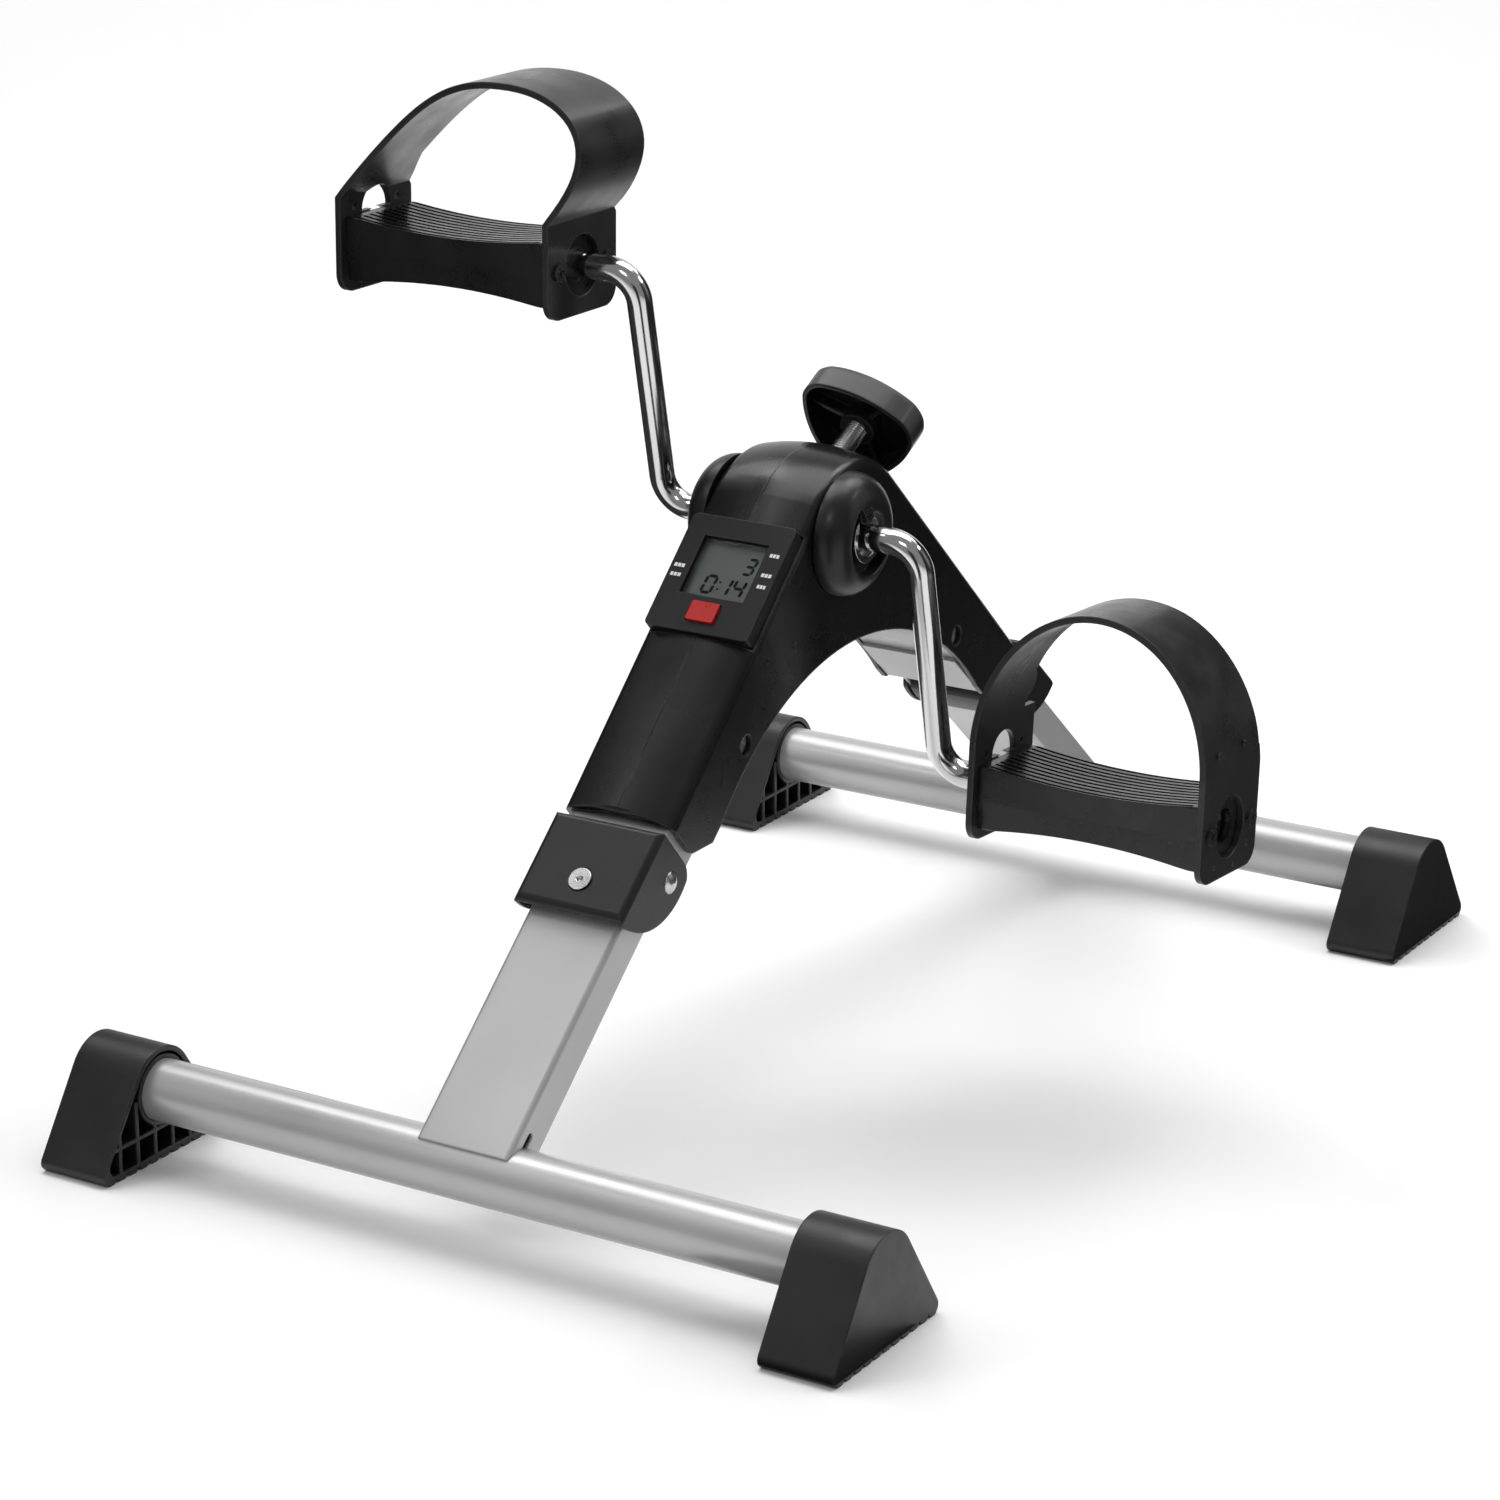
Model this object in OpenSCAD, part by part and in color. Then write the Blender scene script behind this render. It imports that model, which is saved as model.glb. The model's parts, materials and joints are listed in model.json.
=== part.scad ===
// Pedal exerciser: two folding legs on an inverted V housing, a braked crank with two strapped pedals.
// X runs across (user's right is +X), Y from the user's side to the far side, Z up from the floor.

/* [Base] */
// length of each stabiliser bar
bar_len = 386; // [300:1:460]
// outside diameter of the stabiliser bars
bar_d = 28; // [22:0.5:34]
// wall of the stabiliser bars
bar_wall = 1.5; // [1:0.1:3]
// distance of each bar from the middle of the machine
bar_y = 266.5; // [220:0.5:300]
// height of the bar axes above the floor
bar_z = 32; // [26:0.5:40]
// width of a foot along the bar
foot_w = 35.4; // [28:0.2:45]
// length of a foot on the floor
foot_len = 90; // [70:1:110]
// width over the outer faces of the feet
base_w = 400; // [320:1:480]
// teeth under a foot
foot_teeth = 11; // [5:1:15]

/* [Legs] */
// width of a leg tube
leg_w = 46.6; // [36:0.2:55]
// thickness of a leg tube
leg_t = 20; // [15:0.5:26]
// wall of a leg tube
leg_wall = 1.6; // [1:0.1:3]
// radius along the legs' outer edges
leg_edge = 2.2; // [1.8:0.1:4]
// half the width of the notch in each side of a leg where it meets the bar
notch_r = 1.8; // [1:0.1:2.5]
// slope of the legs
leg_slope = 41; // [35:0.5:50]
// distance of each hinge pin from the middle of the machine
pin_y = 155; // [140:0.5:170]
// height of the hinge pins
pin_z = 130; // [110:0.5:150]
// radius of the hinge pins
pin_r = 4; // [3:0.1:5]
// half width of a hinge cover
cover_w = 27.6; // [26:0.1:32]

/* [Housing] */
// half width of the housing
half_w = 28; // [24:0.5:34]
// wall of the housing shells
wall = 2.5; // [1.6:0.1:4]
// slope of the two housing arms
arm_slope = 43; // [38:0.5:50]
// radius of the rounded crest
crest_r = 51.5; // [40:0.5:60]
// height of the centre of the crest
crest_z = 232.5; // [220:0.5:245]
// length of a housing arm below the crest
arm_len = 166; // [140:1:180]
// radius of the crowned outer face
crown_r = 100; // [60:1:140]
// radius of the arch under the housing
arch_r = 150; // [120:1:180]
// height of the top of the arch
arch_top = 197.5; // [180:1:210]

/* [Crank] */
// hub position from the middle of the machine
hub_y = -11; // [-20:0.5:10]
// hub height
hub_z = 250.3; // [235:0.1:260]
// crank radius
crank_r = 114; // [90:1:125]
// angle of the right crank in the side view
crank_angle = -78.2; // [-180:0.1:180]
// radius of the crank rods
rod_r = 6; // [5:0.1:8]
// distance of the rod's long stretch from the middle
rod_x = 66; // [60:0.5:80]
// bend radius of the rods
bend_r = 14.5; // [10:0.5:26]
// radius of the axle
axle_r = 10; // [8:0.1:12]

/* [Pedals] */
// distance of each pedal's middle from the middle of the machine
pedal_x = 152.5; // [140:0.5:165]
// width over a pedal's end plates
pedal_w = 116; // [100:1:130]
// thickness of the strap and its end plates
strap_t = 3; // [2:0.1:5]
// depth of the end plates
plate_d = 55; // [45:0.5:65]
// depth of the band at its top
band_d = 43; // [30:0.5:55]
// top of the right strap above the axle
right_top = 89.2; // [70:0.1:100]
// top of the left strap above the axle
left_top = 82; // [70:0.1:100]
// lean of the left strap towards the middle
left_lean = 30; // [0:1:40]
// tilt of the right pedal at rest
right_tilt = -4; // [-15:0.5:15]
// tilt of the left pedal at rest
left_tilt = -1; // [-15:0.5:15]
// height of a pedal body's top above the axle
body_top = 13; // [8:0.5:20]
// depth of a pedal body below the axle
body_low = 17; // [12:0.5:24]
// ribs across a pedal body
rib_count = 9; // [5:1:13]

/* [Brake] */
// slope of the tension bolt
bolt_slope = 27.5; // [20:0.5:45]
// radius of the tension bolt
bolt_r = 5; // [4:0.1:6]
// distance from hub to the knob's rim
knob_at = 64; // [58:0.5:75]
// height of the knob
knob_h = 15; // [10:0.5:22]
// radius at the knob's corners
knob_r = 30.5; // [24:0.5:34]
// how far beyond its middle the centres of the knob's bulging sides lie
knob_swell = 30; // [15:1:60]
// travel of the brake pad
brake_travel = 3; // [1:0.5:5]

/* [Display] */
// distance from the crest to the bezel's upper edge
bezel_s = 16; // [10:1:40]
// length of the bezel
bezel_len = 59; // [40:1:70]
// half width of the bezel
bezel_w = 26.5; // [20:0.5:30]
// height of the bezel face above the crest centre line
bezel_n = 54; // [52:0.5:60]

/* [Hidden] */
$fn = 96;
fine = 48;
leg_n = 4;
foot_x = base_w/2 - foot_w;
foot_r = 19.7;
foot_apex = 67.4;
inner_w = half_w - wall;
lug_x = inner_w - 1.9;
lug_t = 1.6;
drum_r = 18;
bridge_at = 31.5;
plate_in = pedal_w/2 - strap_t;
ell_z = 22;
screw_y = 94;
screw_z = 174.5;
body_half = plate_in - 0.1;
bore_fit = 0.05;

// ---- helpers ----

function unit(v) = v / norm(v);
function at(a, r) = [r*cos(a), r*sin(a)];

// extrudes a side outline, drawn in Y and Z, from x0 to x1
module along_x(x0, x1) translate([x0, 0, 0]) rotate([90, 0, 90]) linear_extrude(x1 - x0) children();

// extrudes a front outline, drawn in X and Z, from y0 to y1
module along_y(y0, y1) translate([0, y1, 0]) rotate([90, 0, 0]) linear_extrude(y1 - y0) children();

// cylinder along X from x0 to x1
module rod_x(r, x0, x1) translate([x0, 0, 0]) rotate([0, 90, 0]) cylinder(r = r, h = x1 - x0);

// convex outline with a true arc at each corner
module soft_poly(p, r) {
  n = len(p);
  cut = [for (i = [0:n-1]) let (b = p[i], u = unit(p[(i+n-1)%n] - b), v = unit(p[(i+1)%n] - b),
    h = acos(u*v)/2) [b + u*r[i]/tan(h), b + v*r[i]/tan(h), b + unit(u + v)*r[i]/sin(h)]];
  polygon([for (c = cut) each [c[0], c[1]]]);
  for (i = [0:n-1]) translate(cut[i][2]) circle(r[i]);
}

module soft_rect(w, h, r) soft_poly([[-w/2, -h/2], [w/2, -h/2], [w/2, h/2], [-w/2, h/2]], [r, r, r, r]);

// the far side repeats the user's side turned half round
module far_side() rotate([0, 0, 180]) children();

// frame of a leg: Y up the slope from the pin, Z out of the leg's upper face
module on_leg() translate([0, -pin_y, pin_z]) rotate([leg_slope, 0, 0]) children();

// frame of the front housing arm: Y up the slope, Z outwards from the centre of the crest
module on_arm() translate([0, 0, crest_z]) rotate([arm_slope, 0, 0]) children();

// frame of the hub, and the same frame on the left, half a turn on
module on_hub() translate([0, hub_y, hub_z]) children();
module right_crank() on_hub() rotate([crank_angle, 0, 0]) children();
module left_crank() on_hub() rotate([crank_angle + 180, 0, 0]) mirror([1, 0, 0]) children();

// frame of the tension bolt: Z outwards along the bolt, from the hub
module on_bolt() on_hub() rotate([bolt_slope - 90, 0, 0]) children();

// ---- base ----

module bar() {
  color([0.78, 0.78, 0.79]) translate([0, -bar_y, bar_z]) difference() {
    rod_x(bar_d/2, -bar_len/2, bar_len/2);
    rod_x(bar_d/2 - bar_wall, -bar_len/2 - 1, bar_len/2 + 1);
  }
}

module foot_outline(r, edge) {
  rise = foot_apex - bar_z;
  side = atan2(foot_apex, foot_len/2);
  d = r*[sin(side), cos(side)];
  translate([0, bar_z]) circle(r);
  soft_poly([[-foot_len/2 + edge, edge], [foot_len/2 - edge, edge], [d.x, bar_z + d.y],
    [-d.x, bar_z + d.y]], [4, 4, 0.01, 0.01]);
}

module foot() {
  pitch = (foot_len - 8)/foot_teeth;
  color([0.05, 0.05, 0.055]) translate([0, -bar_y, 0]) difference() {
    along_x(foot_x, foot_x + foot_w) foot_outline(foot_r, 0);
    along_x(foot_x - 1, bar_len/2) translate([0, bar_z]) circle(bar_d/2);
    // lightening pockets around the tube socket, open towards the middle
    along_x(foot_x - 1, foot_x + 22) difference() {
      foot_outline(foot_r - 2.4, 3.6);
      translate([0, bar_z]) circle(bar_d/2 + 2);
      for (y = [-30, -18, -6, 6, 18, 30]) translate([y - 0.9, 0]) square([1.8, bar_z]);
      translate([-foot_len/2, 14]) square([foot_len, 1.8]);
    }
    for (i = [0:foot_teeth]) along_x(foot_x - 1, foot_x + foot_w + 1)
      translate([-foot_len/2 + 4 + i*pitch, 0]) polygon([[-2, -0.1], [2, -0.1], [0, 2.2]]);
  }
}

module foot_front_left() mirror([1, 0, 0]) foot();
module foot_front_right() foot();
module foot_rear_left() far_side() foot();
module foot_rear_right() far_side() mirror([1, 0, 0]) foot();
module front_bar() bar();
module rear_bar() far_side() bar();

// ---- legs and hinges ----

module leg() {
  color([0.78, 0.78, 0.79]) difference() {
    on_leg() translate([0, 5, leg_n]) rotate([90, 0, 0]) difference() {
      linear_extrude(151) soft_rect(leg_w, leg_t, leg_edge);
      translate([0, 0, -1]) linear_extrude(153) soft_rect(leg_w - 2*leg_wall, leg_t - 2*leg_wall, 1);
    }
    translate([0, -bar_y, bar_z]) rod_x(bar_d/2, -40, 40);
    on_leg() rod_x(pin_r, -40, 40);
    on_leg() translate([0, -18, 5]) cylinder(r = 5.6, h = 20);
    // the notch in each side wall, just above the bar
    on_leg() along_x(-leg_w, leg_w) translate([-131, leg_n + 2.5]) {
      circle(notch_r);
      translate([-10, -notch_r]) square([10, 2*notch_r]);
    }
  }
}

module cover_outline(grow) intersection() {
  soft_poly([[12 - grow, 22.5 - grow], [-34 + grow, 22.5 - grow], [-34 + grow, -12.5 + grow],
    [12 - grow, -12.5 + grow]], [2.5, 5, 1, 10]);
  translate([0.3, 22]) circle(33.5 - grow);
}

module hinge_cover() {
  color([0.05, 0.05, 0.055]) on_leg() difference() {
    intersection() {
      along_x(-cover_w, cover_w) cover_outline(0);
      along_y(-50, 50) soft_poly([[-cover_w, -30], [cover_w, -30], [cover_w, 22.5], [-cover_w, 22.5]],
        [1, 1, 3, 3]);
    }
    // room for the leg and the frame lugs, open at the top and bottom
    along_x(-inner_w, inner_w) translate([-40, leg_n - leg_t/2 - 0.05]) square([60, leg_t + 6.1]);
    along_x(-leg_w/2, leg_w/2) translate([-40, leg_n - leg_t/2]) square([60, 10]);
    for (s = [-1, 1]) along_x(s*(lug_x + lug_t/2) - 1.05, s*(lug_x + lug_t/2) + 1.05)
      translate([-12.5, -14]) square([30, 20]);
    rod_x(pin_r, -40, 40);
    translate([0, -18, 15]) cylinder(r = 5.6, h = 12);
  }
}

module hinge_pin() {
  color([0.8, 0.8, 0.81]) on_leg() {
    rod_x(pin_r, -cover_w, cover_w);
    for (s = [0, 1]) mirror([s, 0, 0]) difference() {
      translate([cover_w - 5.5, 0, 0]) sphere(7.5);
      translate([cover_w - 15, -10, -10]) cube([15, 20, 20]);
    }
  }
}

module lock_button() {
  color([0.8, 0.8, 0.81]) on_leg() translate([0, -18, 0]) difference() {
    union() {
      translate([0, 0, 10.9]) cylinder(r = 5.3, h = 12.4);
      translate([0, 0, 10.9]) cylinder(r = 7.5, h = 1.4);
      translate([0, 0, 6]) cylinder(r = 3.6, h = 5);
    }
    translate([0, 0, 23.3]) sphere(1.4);
  }
}

module lock_spring() {
  turns = 4;
  color([0.7, 0.7, 0.7]) on_leg() translate([0, -18, -4.3])
    linear_extrude(15.1, twist = -360*turns, slices = 64, $fn = 8) polygon([for (i = [0:15])
      let (a = 0.7*sin(22.5*i)*360*turns/15.1) at(a, 4.7 + 0.7*cos(22.5*i))]);
}

module front_leg() leg();
module rear_leg() far_side() leg();
module front_hinge_cover() hinge_cover();
module rear_hinge_cover() far_side() hinge_cover();
module front_hinge_pin() hinge_pin();
module rear_hinge_pin() far_side() hinge_pin();
module front_lock_button() lock_button();
module rear_lock_button() far_side() lock_button();
module front_lock_spring() lock_spring();
module rear_lock_spring() far_side() lock_spring();

// ---- main frame ----

// outlines of the front half of the frame, drawn in the leg's own frame
module band_2d(low, high, y0) {
  translate([0, arch_top - arch_r]) intersection() {
    difference() { circle(arch_r + high, $fn = 192); circle(arch_r + low, $fn = 192); }
    polygon([[0, 0], [0.1, 220], [-220*tan(leg_slope), 220]]);
  }
  translate([-pin_y, pin_z]) rotate(leg_slope) translate([y0, low - 15.9]) square([63.5 - y0, high - low]);
}

module both_2d() { children(); mirror([1, 0]) children(); }

module cheek_2d() difference() {
  union() {
    both_2d() band_2d(0.8, 26, 31);
    both_2d() translate([-pin_y, pin_z]) rotate(leg_slope) {
      circle(9);
      translate([0, -9]) square([34, 18]);
      translate([13.5, 0]) square([30, 15]);
    }
    // tower that carries the axle and the brake bridge
    polygon([[-44, 214], [44, 214], at(0, 20) + [hub_y, hub_z], at(180, 20) + [hub_y, hub_z]]);
    translate([hub_y, hub_z]) {
      circle(20);
      rotate(bolt_slope) translate([0, -10]) square([bridge_at + 5, 20]);
    }
  }
  translate([hub_y, hub_z]) circle(13);
  for (s = [-1, 1]) {
    translate([s*screw_y, screw_z]) circle(7.2);
    translate([s*pin_y, pin_z]) circle(pin_r + bore_fit);
  }
}

module main_frame() {
  color([0.74, 0.74, 0.75]) {
    for (s = [0, 1]) mirror([s, 0, 0]) along_x(lug_x, lug_x + lug_t) cheek_2d();
    along_x(-lug_x - 1, lug_x + 1) difference() {
      both_2d() band_2d(0.8, 2.6, 31);
      for (s = [-1, 1]) translate([s*screw_y, screw_z]) circle(7.2);
    }
    for (s = [0, 180]) rotate([0, 0, s]) on_leg() translate([-lug_x - 1, 14.5, 13.2])
      cube([2*lug_x + 2, 12, 1.6]);
  }
}

module bearing_bush() {
  color([0.9, 0.9, 0.86]) on_hub() difference() {
    union() { rod_x(13, lug_x - 1.5, lug_x + lug_t); rod_x(16, lug_x - 3.5, lug_x); }
    rod_x(axle_r + bore_fit, 0, 40);
  }
}

module bearing_bush_right() bearing_bush();
module bearing_bush_left() mirror([1, 0, 0]) bearing_bush();

// ---- housing ----

// half of the housing's cross-section, X across and Y outwards from the centre of the crest
module section(w, top, corner) {
  r = top - (crest_r - crown_r);
  c = [w - corner, crest_r - crown_r + sqrt(pow(r - corner, 2) - pow(w - corner, 2))];
  o = [0, crest_r - crown_r];
  intersection() {
    translate(o) circle(r, $fn = 192);
    polygon([[0, o.y], c, o + (c - o)*1.6, [0, top + 20]]);
  }
  polygon([[0, -60], [w, -60], [w, c.y], c, o]);
  translate(c) circle(corner);
}

module arms(w, top, corner, len) {
  for (s = [0, 1]) mirror([0, s, 0]) on_arm()
    rotate([90, 0, 0]) linear_extrude(len) section(w, top, corner);
  translate([0, 0, crest_z]) rotate([90, 0, 90]) rotate([0, 0, 90 - arm_slope])
    rotate_extrude(angle = 2*arm_slope) intersection() {
      mirror([1, -1]) section(w, top, corner);
      square([80, 40]);
    }
}

// side outline the housing is kept inside of
module side_2d() difference() {
  soft_poly([[-156.6, 157.2], [-139, 138], [139, 138], [156.6, 157.2], [0, 312]], [5, 4, 4, 5, 1]);
  translate([0, arch_top - arch_r]) circle(arch_r, $fn = 192);
  both_2d() polygon([[90, 165.5], [130, 130.7], [90, 100]]);
}

module half_shell(mating) {
  difference() {
    intersection() {
      arms(half_w, crest_r, 5, arm_len + 4);
      along_x(0, 40) side_2d();
    }
    difference() {
      arms(inner_w, crest_r - wall, 2.5, arm_len + 20);
      for (s = [-1, 1]) translate([0, s*screw_y, screw_z]) rod_x(6.8, 0, 40);
    }
    on_arm() translate([-1, -bezel_s - bezel_len - 0.2, 44]) cube([bezel_w + 1.2, bezel_len + 0.4, 40]);
    on_bolt() cylinder(r = bolt_r + 1.2, h = 80);
    on_hub() rod_x(axle_r + 1, 0, 40);
    for (s = [-1, 1]) translate([0, s*screw_y, screw_z])
      if (mating) { rod_x(1.8, -1, 14); }
      else { rod_x(2.1, -1, 40); rod_x(4.6, 23.5, 40); }
  }
}

module housing_right() { color([0.06, 0.06, 0.065]) half_shell(false); }
module housing_left() { color([0.06, 0.06, 0.065]) mirror([1, 0, 0]) half_shell(true); }

module housing_screws() {
  color([0.6, 0.6, 0.6]) for (s = [-1, 1]) translate([0, s*screw_y, screw_z]) difference() {
    union() { rod_x(1.8, -12, 23.5); rod_x(4, 23.5, 25.6); }
    for (a = [0, 90]) rotate([a, 0, 0]) translate([24.6, -2.4, -0.5]) cube([2, 4.8, 1]);
  }
}

// ---- display ----

module display_bezel() {
  color([0.07, 0.07, 0.075]) on_arm() translate([0, -bezel_s - bezel_len/2, 0]) difference() {
    translate([0, 0, 44.2]) linear_extrude(bezel_n - 44.2) soft_rect(2*bezel_w, bezel_len, 2.5);
    translate([0, 0, 44]) linear_extrude(bezel_n - 46.2) soft_rect(2*bezel_w - 4, bezel_len - 4, 1);
    translate([-16.5, -11, 50]) cube([33, 30, 20]);
    translate([-7.3, -24.4, 50]) cube([14.6, 10.2, 20]);
  }
}

module display_window() {
  color([0.85, 0.88, 0.9, 0.35]) on_arm() translate([-16.3, -56.3, 50.4]) cube([32.6, 29.6, 1.2]);
}

module lcd_panel() {
  color([0.55, 0.57, 0.55]) on_arm() translate([-18, -58, 48.3]) cube([36, 33, 2]);
}

module circuit_board() {
  color([0.1, 0.3, 0.16]) on_arm() translate([-24, -72.5, 46.6]) cube([48, 54, 1.6]);
}

module button_cell() {
  color([0.75, 0.75, 0.76]) on_arm() translate([0, -45, 43.3]) cylinder(r = 5.8, h = 3.2);
}

module mode_button() {
  color([0.8, 0.06, 0.06]) on_arm() translate([0, -64.8, 0]) {
    difference() {
      translate([0, 0, 49.4]) linear_extrude(6) soft_rect(14, 9.6, 1);
      translate([0, 0, 49]) linear_extrude(4) soft_rect(11.6, 7.2, 0.5);
    }
    translate([0, 0, 49.4]) cylinder(r = 1.8, h = 4);
  }
}

// ---- axle, brake and counter ----

module crank_axle() {
  color([0.7, 0.7, 0.72]) right_crank() difference() {
    rod_x(axle_r, -34, 34);
    rod_x(rod_r, -40, -14);
    rod_x(rod_r, 14, 40);
  }
}

module brake_drum() {
  color([0.45, 0.45, 0.47]) right_crank() difference() {
    rod_x(drum_r, -11, 11);
    rod_x(axle_r, -20, 20);
    translate([0, 14, 0]) rod_x(2.5, 9, 12);
  }
}

module magnet() {
  color([0.6, 0.6, 0.62]) right_crank() translate([0, 14, 0]) rod_x(2.5, 9, 11.6);
}

module reed_sensor() {
  color([0.12, 0.12, 0.13]) on_hub() translate([13.2, -26, -3]) cube([lug_x - 13.2, 9, 6]);
}

module brake_bridge() {
  color([0.7, 0.7, 0.71]) on_bolt() difference() {
    translate([-lug_x, -9, bridge_at]) cube([2*lug_x, 18, 3]);
    cylinder(r = bolt_r + 0.6, h = 60);
  }
}

module tension_nut() {
  color([0.8, 0.8, 0.8]) on_bolt() difference() {
    translate([0, 0, bridge_at + 3]) cylinder(r = 9, h = 5, $fn = 6);
    cylinder(r = bolt_r + bore_fit, h = 60);
  }
}

module pad_wedge(r0, r1) intersection() {
  rotate([0, 90, 0]) translate([0, 0, -9]) difference() {
    cylinder(r = r1, h = 18);
    translate([0, 0, -1]) cylinder(r = r0, h = 20);
  }
  translate([-9, -9, 0]) cube([18, 18, 40]);
}

module brake_pad() { color([0.35, 0.25, 0.18]) on_bolt() pad_wedge(drum_r + brake_travel + 0.4, 24.4); }

module brake_shoe() {
  color([0.6, 0.6, 0.62]) on_bolt() difference() {
    intersection() { pad_wedge(24.4, 34); translate([-20, -20, 0]) cube([40, 40, 28]); }
    translate([0, 0, 26.5]) cylinder(r = bolt_r + bore_fit, h = 10);
  }
}

module tension_bolt() {
  color([0.8, 0.8, 0.81]) on_bolt() translate([0, 0, 26.5]) cylinder(r = bolt_r, h = knob_at + knob_h - 32);
}

// rounded triangle with corner radius c, whose sides bulge as arcs that run smoothly into the corners
module knob_outline(r, c) {
  d = r - c;
  side_r = c + norm(at(0, d) - at(120, knob_swell));
  // where the arc of the side opposite corner j meets corner i
  function meet(i, j) = let (m = at(120*j + 90, knob_swell), q = at(120*i + 90, d)) m + unit(q - m)*side_r;
  intersection() {
    polygon([for (i = [0:2])
      each [meet(i, i + 1), meet(i, i + 2), at(120*i + 150, side_r - knob_swell + 8)]]);
    intersection_for (j = [0:2]) translate(at(120*j + 90, knob_swell)) circle(side_r);
  }
  for (i = [0:2]) translate(at(120*i + 90, d)) circle(c);
}

module tension_knob() {
  color([0.06, 0.06, 0.065]) on_bolt() translate([0, 0, knob_at]) rotate([0, 0, 23]) difference() {
    union() {
      linear_extrude(knob_h - 3) knob_outline(knob_r, 13);
      translate([0, 0, knob_h - 3]) linear_extrude(1.5) knob_outline(knob_r - 0.8, 12.5);
      translate([0, 0, knob_h - 1.5]) linear_extrude(1.5) knob_outline(knob_r - 2.4, 12);
    }
    difference() {
      translate([0, 0, -1]) linear_extrude(knob_h - 2) knob_outline(knob_r - 2.2, 11.5);
      translate([0, 0, 2]) cylinder(r = 8.5, h = 30);
      for (i = [0:2]) rotate([0, 0, 120*i + 90]) translate([-0.9, 0, 6]) cube([1.8, 40, 20]);
    }
    translate([0, 0, -1]) cylinder(r = bolt_r, h = knob_h - 4.5);
  }
}

// ---- hub ends and crank rods, drawn for the right side ----

// turns Y to the given direction in the right side view at rest
module hub_turn(a) rotate([a - crank_angle, 0, 0]) children();
module screw_spot() hub_turn(100) translate([0, 10.4, 0]) children();

module hub_collar() {
  color([0.85, 0.85, 0.86]) difference() {
    rod_x(11.8, 34.5, 40.5);
    rod_x(9.3, 30, 50);
    hub_turn(100) translate([30, 0, -6.5]) cube([20, 20, 13]);
  }
}

module hub_cap() {
  color([0.05, 0.05, 0.055]) difference() {
    union() {
      difference() {
        rotate([0, 90, 0]) rotate_extrude() difference() {
          union() {
            translate([0, half_w + 0.6]) square([28, 1]);
            translate([0, half_w + 1.5]) square([15.1, 13]);
            intersection() {
              translate([15, half_w + 1.5]) circle(13);
              translate([0, half_w + 1.5]) square([30, 13]);
            }
          }
          translate([-1, 0]) square([axle_r + 1.05, 34.4]);
          translate([-1, 34.3]) square([12.9, 40]);
        }
        // recess round the rod, left solid on the clamp screw's side
        difference() {
          rod_x(17.5, 36, 60);
          hub_turn(40) translate([0, 3, -30]) cube([60, 30, 60]);
        }
      }
      screw_spot() rod_x(4.2, 33, 40.2);
    }
    screw_spot() { rod_x(1.6, 34.6, 50); rod_x(3.7, 40.2, 50); }
    rod_x(axle_r + 0.05, 0, 34.3);
  }
}

module hub_screw() {
  color([0.1, 0.1, 0.1]) screw_spot() difference() {
    union() { rod_x(1.6, 34.6, 40.2); rod_x(3.3, 40.2, 42.2); }
    for (a = [0, 90]) rotate([a, 0, 0]) translate([41.3, -2, -0.45]) cube([2, 4, 0.9]);
  }
}

module crank_rod() {
  end_x = pedal_x + plate_in - 4;
  color([0.86, 0.86, 0.87]) {
    rod_x(rod_r, 14, rod_x - bend_r);
    translate([rod_x - bend_r, bend_r, 0]) rotate([0, 0, -90]) rotate_extrude(angle = 90)
      translate([bend_r, 0]) circle(rod_r, $fn = 64);
    translate([rod_x, bend_r, 0]) rotate([-90, 0, 0]) cylinder(r = rod_r, h = crank_r - 2*bend_r);
    translate([rod_x + bend_r, crank_r - bend_r, 0]) rotate([0, 0, 90]) rotate_extrude(angle = 90)
      translate([bend_r, 0]) circle(rod_r, $fn = 64);
    translate([0, crank_r, 0]) difference() {
      rod_x(rod_r, rod_x + bend_r, end_x);
      difference() { rod_x(9, end_x - 3.2, end_x - 1.8); rod_x(rod_r - 1, 0, 300); }
    }
  }
}

module hub_collar_right() right_crank() hub_collar();
module hub_collar_left() left_crank() hub_collar();
module hub_cap_right() right_crank() hub_cap();
module hub_cap_left() left_crank() hub_cap();
module hub_screw_right() right_crank() hub_screw();
module hub_screw_left() left_crank() hub_screw();
module crank_rod_right() right_crank() crank_rod();
module crank_rod_left() left_crank() crank_rod();

// ---- pedals, drawn about the pedal axle with X from the pedal's middle ----

module on_right_pedal()
  translate([pedal_x, hub_y + crank_r*cos(crank_angle), hub_z + crank_r*sin(crank_angle)])
  rotate([right_tilt, 0, 0]) children();
module on_left_pedal()
  translate([-pedal_x, hub_y - crank_r*cos(crank_angle), hub_z - crank_r*sin(crank_angle)])
  rotate([left_tilt, 0, 0]) children();

// outline, in X and Z, of what a shallow dish with its rim at z takes off
module dish_2d(z, depth, grow, half) polygon(concat([[half, z + 20], [-half, z + 20]],
  [for (i = [-8:8]) [half*i/8, z + 0.2 - grow - depth*(1 - pow(half*i/8/(body_half - 3), 2))]]));

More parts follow.
